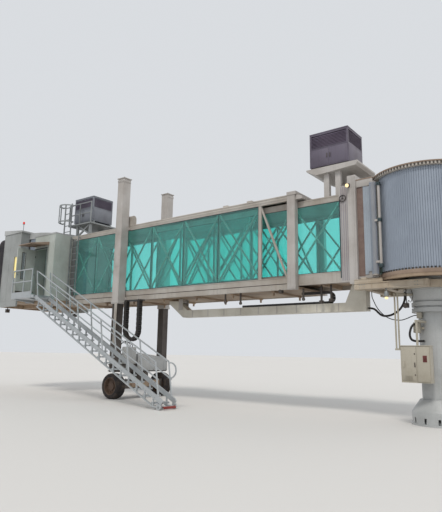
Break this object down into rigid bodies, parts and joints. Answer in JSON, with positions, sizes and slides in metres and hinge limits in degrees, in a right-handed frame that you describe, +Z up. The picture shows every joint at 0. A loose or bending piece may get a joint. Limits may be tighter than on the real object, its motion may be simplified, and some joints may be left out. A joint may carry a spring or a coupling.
{
  "type": "jet bridge",
  "caption": "Jet bridge with a round pedestal rotunda, nested glazed tunnels, twin lift columns on wheels, a turning cab, rooftop air units and an outside service stair.",
  "frame": {"origin": "ground level under the rotunda's turning axis", "axes": "+X along the tunnels from the rotunda to the cab, +Y to the service stair, +Z up"},
  "size_m": [21.35, 4.986, 8.799],
  "materials": {
    "paint_white": "satin off-white paint",
    "paint_grey": "light grey paint",
    "frame_brown": "warm grey-brown paint on the floor frames",
    "rim_brown": "tan-brown sheet flashing",
    "slats": "blue-grey anodised slats",
    "glass": "turquoise tinted glass",
    "window": "clear pane with warm light behind",
    "unit_grey": "dark slate grey paint",
    "cabinet": "beige-grey paint",
    "stair_metal": "mill-finish aluminium",
    "rubber": "black rubber",
    "tyre": "solid black tyre on a grey wheel",
    "chain": "black link chain",
    "canopy": "dark coated fabric folds",
    "lamp_red": "red lamp cap on a grey mast"
  },
  "bodies": {
    "rotunda": {"pedestal": "paint_grey", "control_cabinet": "cabinet", "cabinet_conduits": "cabinet", "rotunda_floor": "frame_brown", "rotunda_roof": "rim_brown", "rotunda_curtains": "slats", "terminal_portal": "paint_white"},
    "swing_throat": {"swing_frame": "frame_brown", "throat_portal": "paint_white", "curtain_rollers": "paint_white", "power_cable": "rubber", "control_cable": "rubber"},
    "tunnel_a": {"tunnel_a_floor": "frame_brown", "tunnel_a_roof": "paint_white", "tunnel_a_side_near": "paint_white", "tunnel_a_side_far": "paint_white", "tunnel_a_glass": "glass", "cable_trough": "paint_white", "energy_chain": "chain", "ac_unit_inner": "unit_grey", "ac_tray_inner": "paint_white"},
    "tunnel_b": {"tunnel_b_floor": "frame_brown", "tunnel_b_roof": "paint_white", "tunnel_b_portal": "paint_white", "tunnel_b_side_near": "paint_white", "tunnel_b_side_far": "paint_white", "tunnel_b_glass": "glass", "lift_column_shells": "paint_white", "ac_unit_outer": "unit_grey", "ac_platform_outer": "paint_white", "access_ladder": "stair_metal", "vestibule_floor": "frame_brown", "vestibule_walls": "paint_grey", "vestibule_roof": "paint_grey", "door_awning": "rim_brown", "landing": "stair_metal", "landing_railing": "stair_metal", "hose_loop": "chain", "cab_curtains": "slats"},
    "service_door": {"service_door": "paint_grey"},
    "service_stair": {"stair_stringers": "stair_metal", "stair_treads": "stair_metal", "stair_handrails": "stair_metal"},
    "lift_beam": {"lift_beam": "frame_brown"},
    "bogie": {"bogie_frame": "frame_brown"},
    "wheel_near": {"drive_wheel_near": "tyre"},
    "wheel_far": {"drive_wheel_far": "tyre"},
    "cab": {"cab_floor": "frame_brown", "cab_walls": "paint_grey", "cab_roof": "paint_grey", "cab_glass": "window", "cab_canopy": "canopy", "cab_beacon": "lamp_red"}
  },
  "joints": [
    {"name": "rotunda_swing", "type": "hinge", "parent": "rotunda", "child": "swing_throat", "pos_m": [0, 0, 3.7], "axis": [0, 0, 1], "range_deg": [-85, 85], "deforming": ["rotunda_curtains", "power_cable", "control_cable"]},
    {"name": "tunnel_pitch", "type": "hinge", "parent": "swing_throat", "child": "tunnel_a", "pos_m": [1.78, 0, 3.95], "axis": [0, -1, 0], "range_deg": [-4.5, 4.5]},
    {"name": "tunnel_telescope", "type": "slide", "parent": "tunnel_a", "child": "tunnel_b", "axis": [1, 0, 0], "range_m": [-0.3, 5.2]},
    {"name": "column_lift", "type": "slide", "parent": "tunnel_b", "child": "lift_beam", "axis": [0, 0, -1], "range_m": [-0.78, 0.78]},
    {"name": "bogie_steer", "type": "hinge", "parent": "lift_beam", "child": "bogie", "pos_m": [11.5, 0, 0.8], "axis": [0, 0, 1], "range_deg": [-90, 90]},
    {"name": "wheel_near_spin", "type": "hinge", "parent": "bogie", "child": "wheel_near", "pos_m": [11.5, 1.28, 0.475], "axis": [0, 1, 0], "continuous": true},
    {"name": "wheel_far_spin", "type": "hinge", "parent": "bogie", "child": "wheel_far", "pos_m": [11.5, -1.28, 0.475], "axis": [0, 1, 0], "continuous": true},
    {"name": "cab_rotate", "type": "hinge", "parent": "tunnel_b", "child": "cab", "pos_m": [17.6, 0, 3.9], "axis": [0, 0, 1], "range_deg": [-45, 25], "deforming": ["cab_curtains"]},
    {"name": "service_door_swing", "type": "hinge", "parent": "tunnel_b", "child": "service_door", "pos_m": [16.375, 1.972, 4], "axis": [0, 0, 1], "range_deg": [0, 90]},
    {"name": "stair_pivot", "type": "hinge", "parent": "tunnel_b", "child": "service_stair", "pos_m": [14.72, 2.53, 3.9], "axis": [0, -1, 0], "range_deg": [-6, 6]}
  ],
  "couplings": [
    {"joint": "column_lift", "follows": "tunnel_pitch", "m_per_rad": 9.72}
  ]
}
